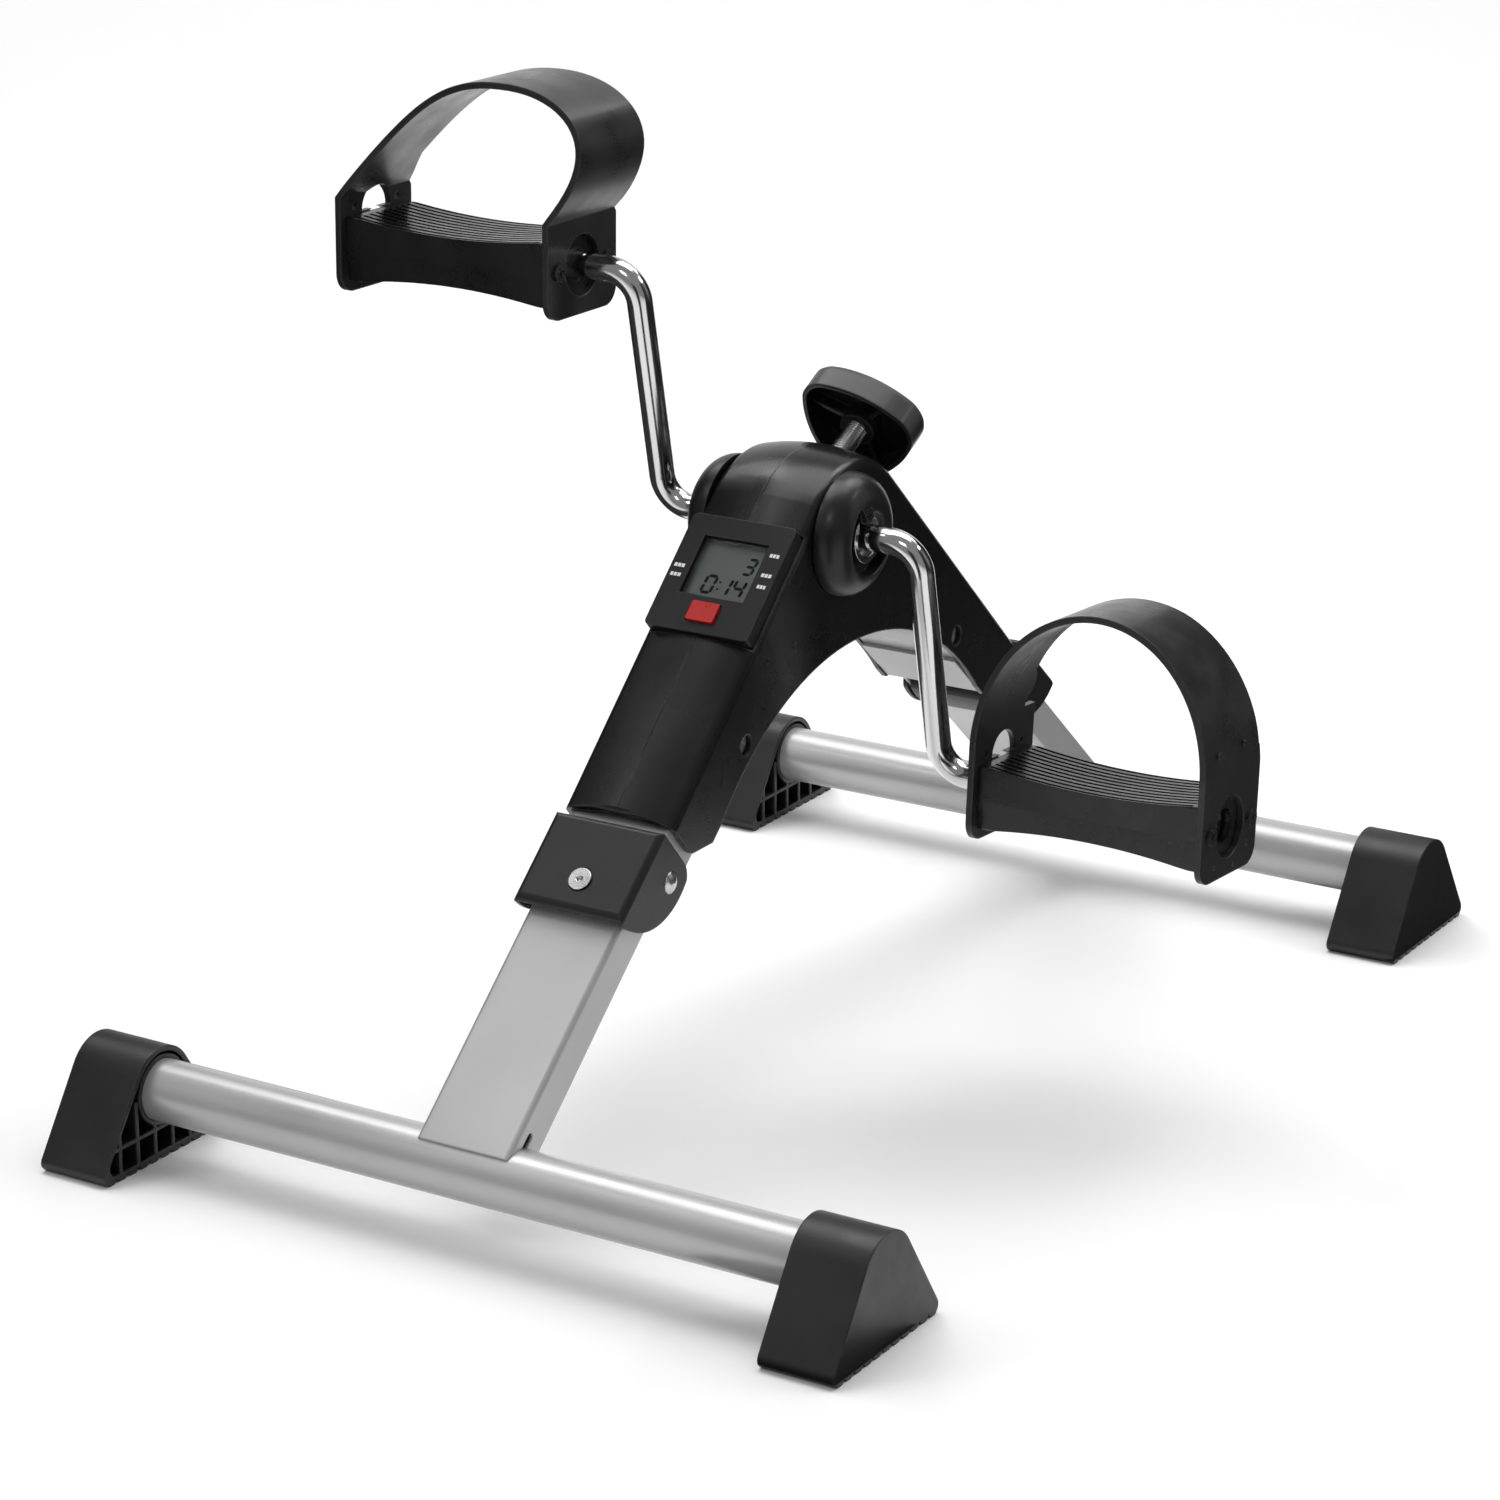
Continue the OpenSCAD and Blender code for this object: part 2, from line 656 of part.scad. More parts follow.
module pedal_body() {
  pitch = 43/rib_count;
  color([0.05, 0.05, 0.055]) difference() {
    along_x(-body_half, body_half) soft_poly([[-21.5, -body_low], [21.5, -body_low], [23.4, -3],
      [23.4, body_top], [-23.4, body_top], [-23.4, -3]], [1.5, 1.5, 8, 1, 1, 8]);
    along_y(-30, 30) dish_2d(body_top, 3.7, 0, body_half - 3);
    along_y(-30, 30) mirror([0, 1]) dish_2d(body_low, 4.2, 0, body_half - 3);
    // grooves between the treads
    for (i = [0:rib_count]) along_y(-21.5 + i*pitch - 1.1, -21.5 + i*pitch + 1.1)
      dish_2d(body_top, 3.7, 1.4, body_half - 5);
    // open pockets underneath, between the axle tube, the cross ribs and the screw bosses
    for (m = [0, 1], i = [-2:1]) mirror([0, m, 0]) translate([i*20 + 1, 11, -30]) cube([18, 8.4, 34]);
    rod_x(8, -60, 60);
    for (s = [-1, 1], e = [0, 1]) mirror([e, 0, 0]) translate([0, s*20, 0]) rod_x(1.8, body_half - 14, 60);
  }
}

// middle line of the strap: straight end plates, then a leaning arch
function arch_pt(a, top, lean, k) = let (s = sin(a), r = plate_in + strap_t/2,
  c = cos(a), h = top - strap_t/2 - ell_z)
  [r*sign(c)*pow(abs(c), 2/k) + lean*sin(90*pow(s, 0.85)), ell_z + h*pow(s, 2/k)];
function path(top, lean, k) = concat([[plate_in + strap_t/2, -body_low - 5]],
  [for (i = [0:fine]) arch_pt(180*i/fine, top, lean, k)], [[-plate_in - strap_t/2, -body_low - 5]]);
function normal(p, i) = let (a = p[max(i-1, 0)], b = p[min(i+1, len(p)-1)], d = unit(b - a)) [d.y, -d.x];

module strap(top, lean, k, far_in, ramp) {
  p = path(top, lean, k);
  n = len(p);
  color([0.055, 0.055, 0.06]) difference() {
    intersection() {
      rotate([90, 0, 0]) translate([0, 0, -40]) linear_extrude(80)
        polygon(concat([for (i = [0:n-1]) p[i] + normal(p, i)*strap_t/2],
          [for (i = [n-1:-1:0]) p[i] - normal(p, i)*strap_t/2]));
      along_x(-120, 120) soft_poly([[-plate_d/2, -body_low - 5], [plate_d/2, -body_low - 5],
        [plate_d/2, 25], [band_d/2, 110], [-band_d/2, 110], [-plate_d/2, 25]], [9, 9, 1, 1, 1, 1]);
    }
    rod_x(14, -100, 100);
    for (s = [-1, 1]) translate([0, s*20, 0]) rod_x(1.8, -100, 100);
    // finger window over the tread in the end plate on the left
    along_x(-100, -40) intersection() {
      translate([0, body_top + 0.6]) circle(11);
      translate([-20, body_top + 0.6]) square(40);
    }
    for (s = [-1, 1]) translate([0, s*16.5, body_top + 3.5]) rod_x(1.5, -100, -40);
    // the far edge runs in towards the left, over the height of the ramp or past a tooth for the closed end
    difference() {
      intersection() {
        translate([0, 0, 20]) linear_extrude(90)
          polygon([[-80, plate_d/2 - far_in], [70, plate_d/2], [70, 60], [-80, 60]]);
        along_x(-80, 70) polygon([[plate_d/2, 32 - ramp/2], [plate_d/2 - far_in, 32 + ramp/2],
          [plate_d/2 - far_in, 110], [60, 110], [60, 32 - ramp/2]]);
      }
      if (ramp == 0) translate([0, plate_d/2 - far_in, 43]) rod_x(7, -90, -20);
    }
  }
}

module pedal_screws() {
  color([0.1, 0.1, 0.1]) for (x = [0, 1], s = [-1, 1])
    mirror([x, 0, 0]) translate([0, s*20, 0]) difference() {
    union() {
      rod_x(1.8, body_half - 12, pedal_w/2 + 0.4);
      rod_x(4, pedal_w/2, pedal_w/2 + 1.8);
    }
    for (a = [0, 90]) rotate([a + 20, 0, 0]) translate([pedal_w/2 + 0.8, -2.4, -0.5]) cube([2, 4.8, 1]);
  }
}

module pedal_bush() {
  color([0.05, 0.05, 0.055]) difference() {
    rod_x(8, -body_half, body_half - 8);
    rod_x(rod_r + bore_fit, -60, 60);
  }
}

module pedal_clip(side) {
  e = plate_in - 4;
  color([0.7, 0.7, 0.7]) mirror([side, 0, 0]) difference() {
    rod_x(7.6, e - 3.1, e - 1.9);
    rod_x(rod_r - 1, 0, 60);
    translate([0, -rod_r + 1, 0]) cube([60, 2*rod_r - 2, 20]);
  }
}

module pedal_body_right() on_right_pedal() pedal_body();
module pedal_body_left() on_left_pedal() mirror([1, 0, 0]) pedal_body();
module strap_right() on_right_pedal() strap(right_top, 0, 2, 13, 0);
module strap_left() on_left_pedal() strap(left_top, left_lean, 2.3, 15, 24);
module pedal_screws_right() on_right_pedal() pedal_screws();
module pedal_screws_left() on_left_pedal() pedal_screws();
module pedal_bush_right() on_right_pedal() pedal_bush();
module pedal_bush_left() on_left_pedal() mirror([1, 0, 0]) pedal_bush();
module pedal_clip_right() on_right_pedal() pedal_clip(0);
module pedal_clip_left() on_left_pedal() pedal_clip(1);

front_bar();
rear_bar();
foot_front_left();
foot_front_right();
foot_rear_left();
foot_rear_right();
front_leg();
rear_leg();
front_hinge_cover();
rear_hinge_cover();
front_hinge_pin();
rear_hinge_pin();
front_lock_button();
rear_lock_button();
front_lock_spring();
rear_lock_spring();
main_frame();
housing_left();
housing_right();
housing_screws();
bearing_bush_left();
bearing_bush_right();
crank_axle();
brake_drum();
magnet();
reed_sensor();
brake_bridge();
tension_nut();
brake_shoe();
brake_pad();
tension_bolt();
tension_knob();
hub_collar_left();
hub_collar_right();
hub_cap_left();
hub_cap_right();
hub_screw_left();
hub_screw_right();
crank_rod_left();
crank_rod_right();
pedal_body_left();
pedal_body_right();
strap_left();
strap_right();
pedal_screws_left();
pedal_screws_right();
pedal_bush_left();
pedal_bush_right();
pedal_clip_left();
pedal_clip_right();
display_bezel();
display_window();
lcd_panel();
circuit_board();
button_cell();
mode_button();
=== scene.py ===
import json
import math

import bmesh
import bpy
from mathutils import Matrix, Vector


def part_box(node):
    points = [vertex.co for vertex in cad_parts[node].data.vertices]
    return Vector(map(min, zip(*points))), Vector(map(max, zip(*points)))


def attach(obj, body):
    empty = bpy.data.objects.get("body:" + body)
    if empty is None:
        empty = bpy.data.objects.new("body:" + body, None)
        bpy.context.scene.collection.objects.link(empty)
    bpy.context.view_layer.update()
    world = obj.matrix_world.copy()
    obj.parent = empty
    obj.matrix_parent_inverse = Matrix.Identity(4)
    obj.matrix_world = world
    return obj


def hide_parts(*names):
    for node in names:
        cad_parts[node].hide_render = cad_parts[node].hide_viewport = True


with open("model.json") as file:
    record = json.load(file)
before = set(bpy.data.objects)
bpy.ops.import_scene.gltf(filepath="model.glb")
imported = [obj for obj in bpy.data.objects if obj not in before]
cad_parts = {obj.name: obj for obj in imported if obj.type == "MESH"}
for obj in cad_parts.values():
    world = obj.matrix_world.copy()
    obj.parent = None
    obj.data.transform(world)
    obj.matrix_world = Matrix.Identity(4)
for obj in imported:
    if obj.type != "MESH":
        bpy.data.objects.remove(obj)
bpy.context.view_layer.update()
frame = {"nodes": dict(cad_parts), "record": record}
nodes = frame["nodes"]
record = frame["record"]

MM = 0.001


# ---- materials ----


def tree(name):
    mat = bpy.data.materials.new(name)
    mat.use_nodes = True
    nt = mat.node_tree
    nt.nodes.clear()
    out = nt.nodes.new("ShaderNodeOutputMaterial")
    bsdf = nt.nodes.new("ShaderNodeBsdfPrincipled")
    nt.links.new(bsdf.outputs["BSDF"], out.inputs["Surface"])
    return mat, nt, bsdf


def noise(nt, coord, scale, detail=4.0, rough=0.55, stretch=None):
    n = nt.nodes.new("ShaderNodeTexNoise")
    n.inputs["Scale"].default_value = scale
    n.inputs["Detail"].default_value = detail
    n.inputs["Roughness"].default_value = rough
    if stretch:
        m = nt.nodes.new("ShaderNodeMapping")
        m.inputs["Scale"].default_value = stretch
        nt.links.new(coord, m.inputs["Vector"])
        coord = m.outputs["Vector"]
    nt.links.new(coord, n.inputs["Vector"])
    return n.outputs["Fac"]


def ramp(nt, fac, lo, hi, a, b):
    r = nt.nodes.new("ShaderNodeMapRange")
    r.inputs["From Min"].default_value = lo
    r.inputs["From Max"].default_value = hi
    r.inputs["To Min"].default_value = a
    r.inputs["To Max"].default_value = b
    nt.links.new(fac, r.inputs["Value"])
    return r.outputs["Result"]


def mix(nt, fac, a, b):
    m = nt.nodes.new("ShaderNodeMix")
    m.data_type = "RGBA"
    m.inputs[6].default_value = (*a, 1)
    m.inputs[7].default_value = (*b, 1)
    nt.links.new(fac, m.inputs[0])
    return m.outputs[2]


def surface(name, low, high, rough, metallic=0.0, edge=0.0008, grain=(900.0, 0.00003),
            cloud=14.0, swing=0.06, edge_wear_and_highlight=None, coat=0.0, stretch=None, spec=0.5, dents=0.0):
    """A paint, plastic or metal with cloudy tone, fine grain, soft edges and lighter edges: edge wear on
    most finishes, a painted highlight along the housing's edges.
    """
    mat, nt, bsdf = tree(name)
    tc = nt.nodes.new("ShaderNodeTexCoord").outputs["Object"]
    tone = ramp(nt, noise(nt, tc, cloud, 5.0), 0.3, 0.7, 0.0, 1.0)
    colour = mix(nt, tone, low, high)
    bevel = nt.nodes.new("ShaderNodeBevel")
    bevel.samples = 6
    bevel.inputs["Radius"].default_value = edge
    # lighter colour along sharp edges: edge wear on most finishes, a painted edge highlight on the housing
    if edge_wear_and_highlight:
        geo = nt.nodes.new("ShaderNodeNewGeometry")
        wide = nt.nodes.new("ShaderNodeBevel")
        wide.samples = 4
        wide.inputs["Radius"].default_value = edge * 1.6
        dot = nt.nodes.new("ShaderNodeVectorMath")
        dot.operation = "DOT_PRODUCT"
        nt.links.new(wide.outputs["Normal"], dot.inputs[0])
        nt.links.new(geo.outputs["Normal"], dot.inputs[1])
        sharp = ramp(nt, dot.outputs["Value"], 0.96, 0.80, 0.0, 1.0)
        patch = ramp(nt, noise(nt, tc, 60.0, 6.0, 0.65), 0.42, 0.62, 0.25, 1.0)
        both = nt.nodes.new("ShaderNodeMath")
        both.operation = "MULTIPLY"
        nt.links.new(sharp, both.inputs[0])
        nt.links.new(patch, both.inputs[1])
        m = nt.nodes.new("ShaderNodeMix")
        m.data_type = "RGBA"
        m.inputs[7].default_value = (*edge_wear_and_highlight, 1)
        nt.links.new(both.outputs[0], m.inputs[0])
        nt.links.new(colour, m.inputs[6])
        colour = m.outputs[2]
    nt.links.new(colour, bsdf.inputs["Base Color"])
    r = ramp(nt, noise(nt, tc, cloud * 3.1, 6.0, 0.6, stretch), 0.3, 0.7, rough - swing, rough + swing)
    nt.links.new(r, bsdf.inputs["Roughness"])
    bsdf.inputs["Metallic"].default_value = metallic
    bsdf.inputs["Specular IOR Level"].default_value = spec
    bsdf.inputs["Coat Weight"].default_value = coat
    bsdf.inputs["Coat Roughness"].default_value = 0.12
    last = bevel.outputs["Normal"]
    if dents:
        b = nt.nodes.new("ShaderNodeBump")
        b.inputs["Strength"].default_value = 1.0
        b.inputs["Distance"].default_value = dents
        nt.links.new(noise(nt, tc, 22.0, 2.0), b.inputs["Height"])
        nt.links.new(last, b.inputs["Normal"])
        last = b.outputs["Normal"]
    if grain:
        b = nt.nodes.new("ShaderNodeBump")
        b.inputs["Strength"].default_value = 1.0
        b.inputs["Distance"].default_value = grain[1]
        nt.links.new(noise(nt, tc, grain[0], 3.0, 0.6, stretch), b.inputs["Height"])
        nt.links.new(last, b.inputs["Normal"])
        last = b.outputs["Normal"]
    nt.links.new(last, bsdf.inputs["Normal"])
    return mat


silver = surface("silver_paint", (0.44, 0.44, 0.445), (0.50, 0.50, 0.505), rough=0.36, metallic=0.45,
                 edge=0.0014, grain=(1600.0, 0.000015), cloud=9.0, swing=0.05, coat=0.3, dents=0.00012)
frame_paint = surface("frame_paint", (0.32, 0.32, 0.325), (0.42, 0.42, 0.425), rough=0.40, metallic=0.45,
                      edge=0.0006, grain=(1400.0, 0.00002), cloud=12.0, edge_wear_and_highlight=(0.5, 0.5, 0.51), coat=0.2,
                      dents=0.0001)
# the housing's lighter edge colour is a painted highlight: thin light lines where its moulded edges catch
# light
housing = surface("housing_plastic", (0.0050, 0.0050, 0.0053), (0.0082, 0.0082, 0.0086), rough=0.27,
                  edge=0.0011, grain=(2600.0, 0.000010), cloud=8.0, swing=0.04, edge_wear_and_highlight=(0.085, 0.085, 0.088),
                  coat=0.1, spec=0.34, dents=0.00002)
matte = surface("textured_plastic", (0.0056, 0.0056, 0.0060), (0.0100, 0.0100, 0.0106), rough=0.36,
                edge=0.0012, grain=(1900.0, 0.00003), cloud=11.0, swing=0.05, edge_wear_and_highlight=(0.035, 0.035, 0.037),
                coat=0.1, spec=0.38)
strap_mat = surface("strap_plastic", (0.011, 0.011, 0.0115), (0.020, 0.020, 0.021), rough=0.33, edge=0.0009,
                    grain=(800.0, 0.00002), cloud=16.0, swing=0.09, edge_wear_and_highlight=(0.05, 0.05, 0.052), coat=0.12,
                    spec=0.42, dents=0.00012)
tread = surface("tread_plastic", (0.005, 0.005, 0.0053), (0.011, 0.011, 0.0117), rough=0.28, edge=0.00035,
                grain=(1300.0, 0.00001), cloud=20.0, swing=0.08, coat=0.15, spec=0.42, dents=0.00004)
rubber = surface("foot_rubber", (0.0058, 0.0058, 0.0062), (0.0105, 0.0105, 0.011), rough=0.42, edge=0.0014,
                 grain=(1500.0, 0.00004), swing=0.07, edge_wear_and_highlight=(0.03, 0.03, 0.032), dents=0.00008)
chrome = surface("chrome", (0.66, 0.66, 0.67), (0.76, 0.76, 0.76), rough=0.13, metallic=1.0, edge=0.0006,
                 grain=(700.0, 0.000006), cloud=10.0, swing=0.03, dents=0.00002)
zinc = surface("zinc_plate", (0.50, 0.50, 0.51), (0.68, 0.68, 0.69), rough=0.24, metallic=1.0, edge=0.0007,
               grain=(900.0, 0.00002), cloud=30.0, swing=0.08)
screw_mat = surface("screw_plate", (0.62, 0.62, 0.62), (0.78, 0.78, 0.77), rough=0.36, metallic=1.0,
                    edge=0.0003, grain=(1200.0, 0.00002), cloud=60.0, swing=0.08)
oxide = surface("black_oxide", (0.03, 0.03, 0.032), (0.06, 0.06, 0.062), rough=0.3, metallic=0.7,
                edge=0.0003, grain=(1200.0, 0.00002), cloud=60.0, swing=0.08)
steel = surface("turned_steel", (0.42, 0.42, 0.43), (0.58, 0.58, 0.59), rough=0.30, metallic=1.0,
                edge=0.0004, grain=(500.0, 0.00002), cloud=40.0, swing=0.08, stretch=(1.0, 0.08, 0.08))
iron = surface("drum_iron", (0.16, 0.16, 0.165), (0.26, 0.26, 0.265), rough=0.42, metallic=1.0, edge=0.0005,
               grain=(450.0, 0.00004), cloud=40.0, swing=0.1, stretch=(1.0, 0.06, 0.06))
lining = surface("brake_lining", (0.12, 0.075, 0.045), (0.22, 0.15, 0.10), rough=0.8, edge=0.0004,
                 grain=(700.0, 0.0002), cloud=90.0, swing=0.1)
nylon = surface("natural_nylon", (0.30, 0.295, 0.28), (0.38, 0.375, 0.35), rough=0.45, edge=0.0004,
                grain=(1400.0, 0.00003), cloud=30.0)
nickel = surface("nickel_plate", (0.5, 0.5, 0.51), (0.62, 0.62, 0.63), rough=0.22, metallic=1.0,
                 edge=0.0003, grain=(900.0, 0.00001), cloud=60.0)
sensor = surface("sensor_case", (0.02, 0.02, 0.021), (0.03, 0.03, 0.031), rough=0.5, edge=0.0003,
                 grain=(1400.0, 0.00004), cloud=30.0)
knob_mat = surface("knob_plastic", (0.0075, 0.0075, 0.008), (0.015, 0.015, 0.016), rough=0.38, edge=0.0012,
                   grain=(2100.0, 0.00005), cloud=15.0, swing=0.05, edge_wear_and_highlight=(0.05, 0.05, 0.053), coat=0.1)
bezel_mat = surface("bezel_plastic", (0.0052, 0.0052, 0.0056), (0.0080, 0.0080, 0.0084), rough=0.42,
                    edge=0.0006, grain=(2400.0, 0.00003), cloud=12.0, swing=0.05, edge_wear_and_highlight=(0.07, 0.07, 0.073),
                    spec=0.26)
lcd_mat = surface("lcd_panel", (0.085, 0.088, 0.086), (0.105, 0.108, 0.105), rough=0.32, edge=0.0002,
                  grain=(2500.0, 0.00001), cloud=30.0, swing=0.04)
board = surface("circuit_board", (0.02, 0.10, 0.045), (0.03, 0.14, 0.06), rough=0.4, edge=0.0002,
                grain=(1200.0, 0.00003), cloud=60.0)
red = surface("red_button", (0.42, 0.005, 0.004), (0.50, 0.008, 0.006), rough=0.30, edge=0.0004,
              grain=(1500.0, 0.00002), cloud=40.0, swing=0.05, coat=0.1, spec=0.4)
ink = surface("label_ink", (0.72, 0.72, 0.72), (0.86, 0.86, 0.86), rough=0.5, edge=0.0001,
              grain=(2500.0, 0.00001), cloud=200.0, swing=0.05)
digit_ink = surface("lcd_segment", (0.004, 0.004, 0.004), (0.006, 0.006, 0.006), rough=0.6, edge=0.0001,
                    grain=(2500.0, 0.00001), cloud=200.0, swing=0.05, spec=0.1)


def clear_plastic():
    mat, nt, bsdf = tree("clear_window")
    tc = nt.nodes.new("ShaderNodeTexCoord").outputs["Object"]
    bsdf.inputs["Base Color"].default_value = (0.95, 0.97, 0.97, 1)
    bsdf.inputs["Transmission Weight"].default_value = 1.0
    bsdf.inputs["IOR"].default_value = 1.08
    r = ramp(nt, noise(nt, tc, 120.0, 5.0), 0.35, 0.7, 0.02, 0.09)
    nt.links.new(r, bsdf.inputs["Roughness"])
    b = nt.nodes.new("ShaderNodeBump")
    b.inputs["Distance"].default_value = 0.000004
    nt.links.new(noise(nt, tc, 300.0, 3.0), b.inputs["Height"])
    nt.links.new(b.outputs["Normal"], bsdf.inputs["Normal"])
    return mat


finishes = {
    "silver_tube": silver, "frame_steel": frame_paint, "black_housing": housing, "black_plastic": matte,
    "strap_plastic": strap_mat, "tread_plastic": tread, "foot_rubber": rubber, "chrome_rod": chrome,
    "zinc_steel": zinc, "screw_steel": screw_mat, "black_screw": oxide, "axle_steel": steel,
    "drum_iron": iron, "brake_lining": lining, "bush_nylon": nylon, "magnet_plate": nickel,
    "sensor_black": sensor, "knob_black": knob_mat, "bezel_black": bezel_mat,
    "clear_window": clear_plastic(), "lcd_grey": lcd_mat, "board_green": board, "cell_steel": nickel,
    "button_red": red,
}
slot_of = {p["node"]: p["material_slot"] for p in record["subparts"]}
for name, obj in nodes.items():
    obj.data.materials.clear()
    obj.data.materials.append(finishes[slot_of[name]])

# the arched and dished pieces are smoothed over their small flats
for name in ("strap_left", "strap_right", "pedal_body_left", "pedal_body_right",
             "front_lock_spring", "rear_lock_spring"):
    obj = nodes[name]
    if "custom_normal" in obj.data.attributes:
        obj.data.attributes.remove(obj.data.attributes["custom_normal"])
    for p in obj.data.polygons:
        p.use_smooth = True
    weld = obj.modifiers.new("weld", "WELD")
    weld.merge_threshold = 0.000002
    split = obj.modifiers.new("split", "EDGE_SPLIT")
    split.split_angle = math.radians(26)


# ---- display marks and digits ----


def make(name, bm, mat, body, smooth=True):
    me = bpy.data.meshes.new(name)
    bm.normal_update()
    bm.to_mesh(me)
    bm.free()
    for p in me.polygons:
        p.use_smooth = smooth
    me.materials.append(mat)
    ob = bpy.data.objects.new(name, me)
    bpy.context.scene.collection.objects.link(ob)
    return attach(ob, body)


def face_frame(node):
    """A sloping flat plate's across, up-slope and outward directions."""
    me = nodes[node].data
    big = max((p for p in me.polygons if p.normal.z > 0.3), key=lambda p: p.area)
    out = big.normal.copy()
    across = Vector((1, 0, 0))
    return across, out.cross(across).normalized(), out


def top_of(node, out):
    return max(v.co.dot(out) for v in nodes[node].data.vertices)


def middle_of(node):
    lo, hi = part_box(node)
    return (lo + hi) / 2


def slab(bm, at, across, upward, out, outline, thick):
    """A thin plate of that outline, lying on its plane."""
    low = [bm.verts.new(at + across * x + upward * y) for x, y in outline]
    top = [bm.verts.new(at + across * x + upward * y + out * thick) for x, y in outline]
    bm.faces.new(top)
    bm.faces.new(low[::-1])
    n = len(low)
    for i in range(n):
        bm.faces.new([low[i], low[(i + 1) % n], top[(i + 1) % n], top[i]])


def on_plane(point, out, height):
    return point + out * (height - point.dot(out))


SEGMENTS = {"0": "abcdef", "1": "bc", "3": "abcdg", "4": "bcfg"}


def digit(bm, char, at, frame3, w, h, t):
    """A seven segment figure as thin bars with pointed ends."""
    across, upward, out = frame3
    lean, gap = 0.10, t * 0.1
    for seg in SEGMENTS[char]:
        if seg in "agd":
            y = {"a": h / 2, "g": 0, "d": -h / 2}[seg]
            a, b = -w / 2 + gap, w / 2 - gap
            pts = [(a, y), (a + t / 2, y + t / 2), (b - t / 2, y + t / 2), (b, y),
                   (b - t / 2, y - t / 2), (a + t / 2, y - t / 2)]
        else:
            x = w / 2 if seg in "bc" else -w / 2
            y0, y1 = (gap, h / 2 - gap) if seg in "bf" else (-h / 2 + gap, -gap)
            pts = [(x, y0), (x + t / 2, y0 + t / 2), (x + t / 2, y1 - t / 2), (x, y1),
                   (x - t / 2, y1 - t / 2), (x - t / 2, y0 + t / 2)]
        slab(bm, at, across, upward, out, [(x * MM + lean * y * MM, y * MM) for x, y in pts], 0.00004)


def display():
    across, upward, out = axes = face_frame("lcd_panel")
    base = on_plane(middle_of("lcd_panel"), out, top_of("lcd_panel", out) + 0.00001)
    bm = bmesh.new()
    digit(bm, "3", base + across * 10.0 * MM + upward * 4.6 * MM, axes, 4.2, 7.8, 1.35)
    for char, x in (("0", -6.0), ("1", 2.0), ("4", 9.0)):
        digit(bm, char, base + across * x * MM - upward * 7.0 * MM, axes, 4.8, 8.6, 1.5)
    for y in (-8.8, -5.2):
        slab(bm, base - across * 1.0 * MM + upward * y * MM, across, upward, out,
             [(-0.0005, -0.0005), (0.0005, -0.0005), (0.0005, 0.0005), (-0.0005, 0.0005)], 0.00004)
    make("lcd_digits", bm, digit_ink, "base", False)

    face = on_plane(middle_of("display_bezel"), out, top_of("display_bezel", out) + 0.00001)
    bm = bmesh.new()
    dashes, gap, tall = 3, 0.35, 0.0009
    # middle across, middle up the slope and width of each row of dashes, in millimetres
    rows = ((-21.9, 2.1, 5.6), (-21.9, -2.7, 5.6), (21.6, 14.2, 5.0), (21.9, 4.0, 5.4), (21.9, -1.9, 4.6))
    for x, y, w in rows:
        for k in range(dashes):
            a = (x - w / 2 + k * w / dashes) * MM
            b = a + (w / dashes - gap) * MM
            slab(bm, face + upward * y * MM, across, upward, out,
                 [(a, -tall), (b, -tall), (b, tall), (a, tall)], 0.00003)
    make("bezel_marks", bm, ink, "base", False)


display()


# ---- bolt thread and pedal plate details ----


def threaded_bolt():
    """The tension bolt with a real rolled thread along its whole length."""
    pts = [v.co.copy() for v in nodes["tension_bolt"].data.vertices]
    guess = Vector((0, 1, 0.5)).normalized()
    mid = sum(p.dot(guess) for p in pts) / len(pts)
    ends = [sum(part, Vector()) / len(part) for part in
            ([p for p in pts if p.dot(guess) > mid], [p for p in pts if p.dot(guess) <= mid])]
    axis = (ends[0] - ends[1]).normalized()
    centre = (ends[0] + ends[1]) / 2
    low = min((p - centre).dot(axis) for p in pts)
    high = max((p - centre).dot(axis) for p in pts)
    radius = max(((p - centre) - axis * (p - centre).dot(axis)).length for p in pts)
    across = Vector((1, 0, 0))
    upward = axis.cross(across)
    pitch, steps, rounds = 1.5 * MM, 8, 40
    deep, flat, chamfer = 0.75 * MM, 0.12, 1.2 * MM
    count = int((high - low) / pitch * steps)
    bm = bmesh.new()
    rings = []
    for i in range(count + 1):
        z = low + (high - low) * i / count
        taper = min(1.0, (high - z) / chamfer + 0.82, (z - low) / chamfer + 0.82)
        ring = []
        for k in range(rounds):
            a = 2 * math.pi * k / rounds
            wave = ((z - low) / pitch - k / rounds) % 1.0
            depth = max(0.0, abs(wave - 0.5) * 2 - flat) / (1 - flat)
            r = (radius - deep * (1 - depth)) * taper
            ring.append(bm.verts.new(centre + axis * z + (across * math.cos(a) + upward * math.sin(a)) * r))
        rings.append(ring)
    for a, b in zip(rings, rings[1:]):
        for k in range(rounds):
            bm.faces.new([a[k], a[(k + 1) % rounds], b[(k + 1) % rounds], b[k]])
    bm.faces.new(rings[0][::-1])
    bm.faces.new(rings[-1])
    ob = make("threaded_bolt", bm, zinc, "knob")
    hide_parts("tension_bolt")


def dome(bm, at, out, r, h):
    """A low moulded bump on a flat face."""
    u = out.orthogonal().normalized()
    v = out.cross(u)
    sides = 20
    profile = ((r, -0.0001), (r * 0.97, h * 0.35), (r * 0.85, h * 0.75), (r * 0.6, h))
    rings = [[bm.verts.new(at + (u * math.cos(a) + v * math.sin(a)) * rr + out * hh)
              for a in [2 * math.pi * k / sides for k in range(sides)]]
             for rr, hh in profile]
    for a, b in zip(rings, rings[1:]):
        for k in range(sides):
            bm.faces.new([a[k], a[(k + 1) % sides], b[(k + 1) % sides], b[k]])
    bm.faces.new(rings[-1])


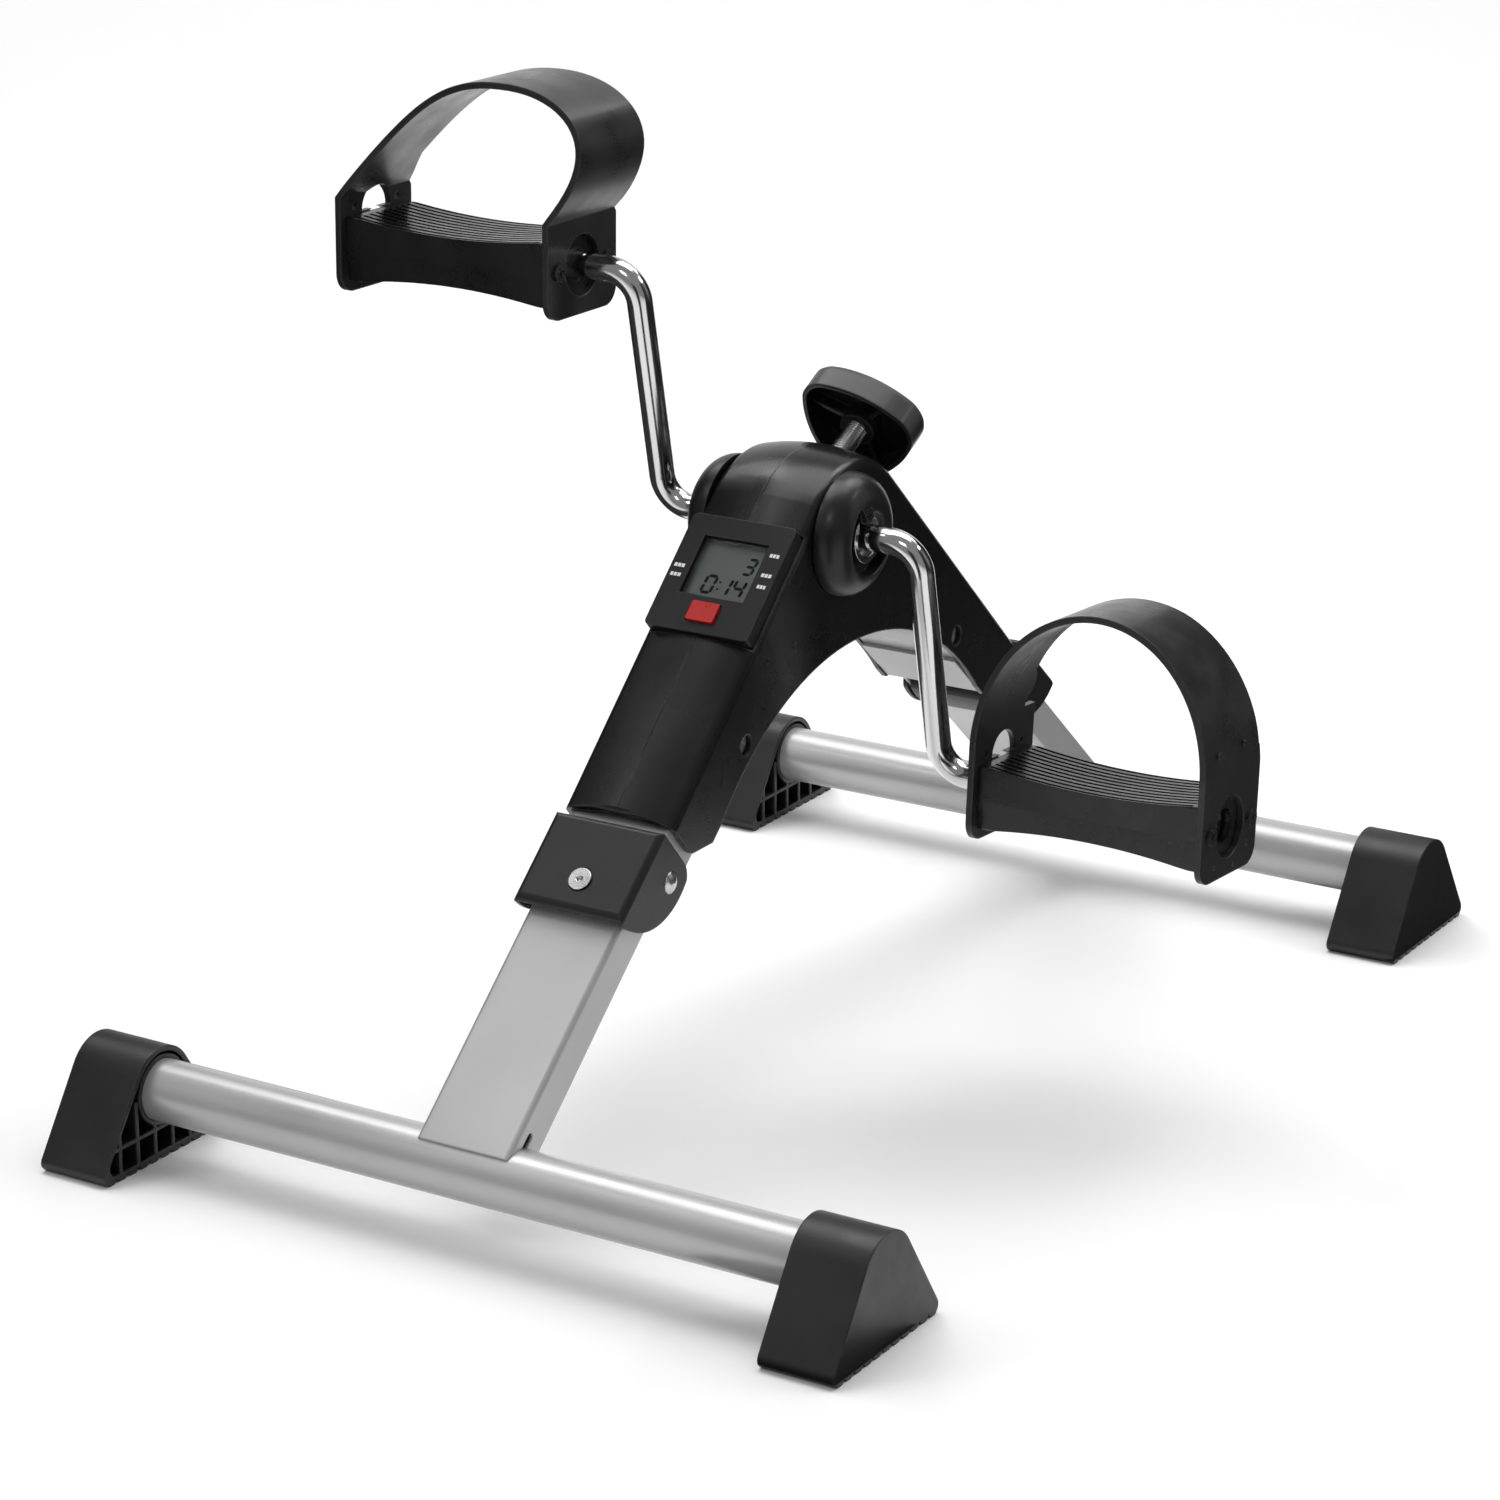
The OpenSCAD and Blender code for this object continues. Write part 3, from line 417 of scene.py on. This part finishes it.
def plate_bumps():
    """Small moulded bumps on the outer end plate of the right strap."""
    lo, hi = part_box("pedal_body_right")
    axle = (lo + hi) / 2
    axle.z = middle_of("pedal_bush_right").z
    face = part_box("strap_right")[1].x
    # place along Y and up from the pedal axle, and radius, in millimetres
    bumps = ((-12.5, 36, 1.5), (12.5, 35, 1.5), (17.5, -12.5, 1.4), (-15.6, -14.5, 1.2), (4, -18.5, 1.2))
    bm = bmesh.new()
    for y, z, r in bumps:
        dome(bm, Vector((face, axle.y + y * MM, axle.z + z * MM)), Vector((1, 0, 0)), r * MM, 0.35 * MM)
    make("plate_bumps_right", bm, strap_mat, "right_pedal")


threaded_bolt()
plate_bumps()


# ---- floor, light and camera ----


def plain(name, colour, rough):
    mat, nt, bsdf = tree(name)
    tc = nt.nodes.new("ShaderNodeTexCoord").outputs["Object"]
    c = mix(nt, noise(nt, tc, 3.0), colour, tuple(0.985 * v for v in colour))
    nt.links.new(c, bsdf.inputs["Base Color"])
    bsdf.inputs["Roughness"].default_value = rough
    return mat


def floor():
    bm = bmesh.new()
    front, back, rise, cove, half = -6.0, 3.2, 5.0, 1.5, 7.0
    rows = [(front, 0.0), (back - cove, 0.0)]
    rows += [(back - cove + cove * math.sin(a), cove - cove * math.cos(a)) for a in
             [math.radians(5 * i) for i in range(1, 19)]]
    rows += [(back, rise)]
    prev = None
    for y, z in rows:
        pair = [bm.verts.new((x, y, z)) for x in (-half, half)]
        if prev:
            bm.faces.new([prev[0], prev[1], pair[1], pair[0]])
        prev = pair
    me = bpy.data.meshes.new("floor")
    bm.to_mesh(me)
    bm.free()
    for p in me.polygons:
        p.use_smooth = True
    ob = bpy.data.objects.new("floor", me)
    bpy.context.scene.collection.objects.link(ob)
    ob.rotation_euler = (0, 0, math.radians(31.6))
    me.materials.append(plain("floor", (0.93, 0.93, 0.93), 0.6))


def area(name, place, aim, size, power, size_y=None):
    light = bpy.data.lights.new(name, "AREA")
    light.energy = power
    light.size = size
    if size_y:
        light.shape = "RECTANGLE"
        light.size_y = size_y
    ob = bpy.data.objects.new(name, light)
    ob.location = place
    ob.rotation_euler = (Vector(aim) - Vector(place)).to_track_quat("-Z", "Y").to_euler()
    bpy.context.scene.collection.objects.link(ob)


def dark_card(name, start, end, near, far, height):
    """A dark screen, flat and then upright, seen only in reflections: it gives plated rods dark edges."""
    bm = bmesh.new()
    prev = None
    for i in range(9):
        a = math.radians(start + (end - start) * i / 8)
        way = side * math.sin(a) - away * math.cos(a)
        row = [bm.verts.new(way * d + up * z) for d, z in ((near, 0.002), (far, 0.002), (far, height))]
        if prev:
            for k in range(2):
                bm.faces.new([prev[k], row[k], row[k + 1], prev[k + 1]])
        prev = row
    me = bpy.data.meshes.new(name)
    bm.to_mesh(me)
    bm.free()
    me.materials.append(plain("card", (0.01, 0.01, 0.01), 0.9))
    ob = bpy.data.objects.new(name, me)
    bpy.context.scene.collection.objects.link(ob)
    ob.visible_camera = ob.visible_diffuse = ob.visible_shadow = ob.visible_transmission = False


floor()
side = Vector((math.cos(math.radians(31.56)), math.sin(math.radians(31.56)), 0))
away = Vector((-side.y, side.x, 0))
up = Vector((0, 0, 1))
middle = Vector((0, 0, 0.2))
dark_card("card_right", 52, 150, near=0.30, far=0.75, height=0.8)
dark_card("card_left", -66, -150, near=0.22, far=0.75, height=0.8)
dark_card("card_front", -12, 8, near=0.30, far=0.75, height=0.5)
area("top", middle + up * 2.1 + away * 0.5, middle, size=2.4, power=34.0, size_y=1.4)
area("left", middle - side * 1.8 - away * 0.3 + up * 1.1, middle, size=0.5, power=8.0, size_y=1.6)
area("right", middle + side * 1.9 + away * 0.1 + up * 0.8, middle, size=0.5, power=12.0, size_y=1.6)
area("front", middle - away * 2.2 + up * 1.9 - side * 0.6, middle, size=0.7, power=6.0, size_y=0.5)
for k, lamp in enumerate(("floor_a", "floor_b")):
    area(lamp, (middle + away * (1.6 + 0.2 * k) + up * 2.4 + side * (1.4 - 2.8 * k)),
         middle + away * 1.6 - up * 0.4, size=1.6, power=22.0)

world = bpy.data.worlds.new("studio")
bpy.context.scene.world = world
world.use_nodes = True
world.node_tree.nodes["Background"].inputs["Color"].default_value = (1, 1, 1, 1)
world.node_tree.nodes["Background"].inputs["Strength"].default_value = 0.25

cam = bpy.data.cameras.new("camera")
cam.sensor_width = 36.0
cam.lens = 109.5
eye = bpy.data.objects.new("camera", cam)
bpy.context.scene.collection.objects.link(eye)
eye.location = (1.0141, -1.6961, 0.8115)
eye.rotation_euler = Vector((-0.4957, 0.8069, -0.3217)).to_track_quat("-Z", "Y").to_euler()
bpy.context.scene.camera = eye
bpy.context.scene.view_settings.view_transform = "Standard"
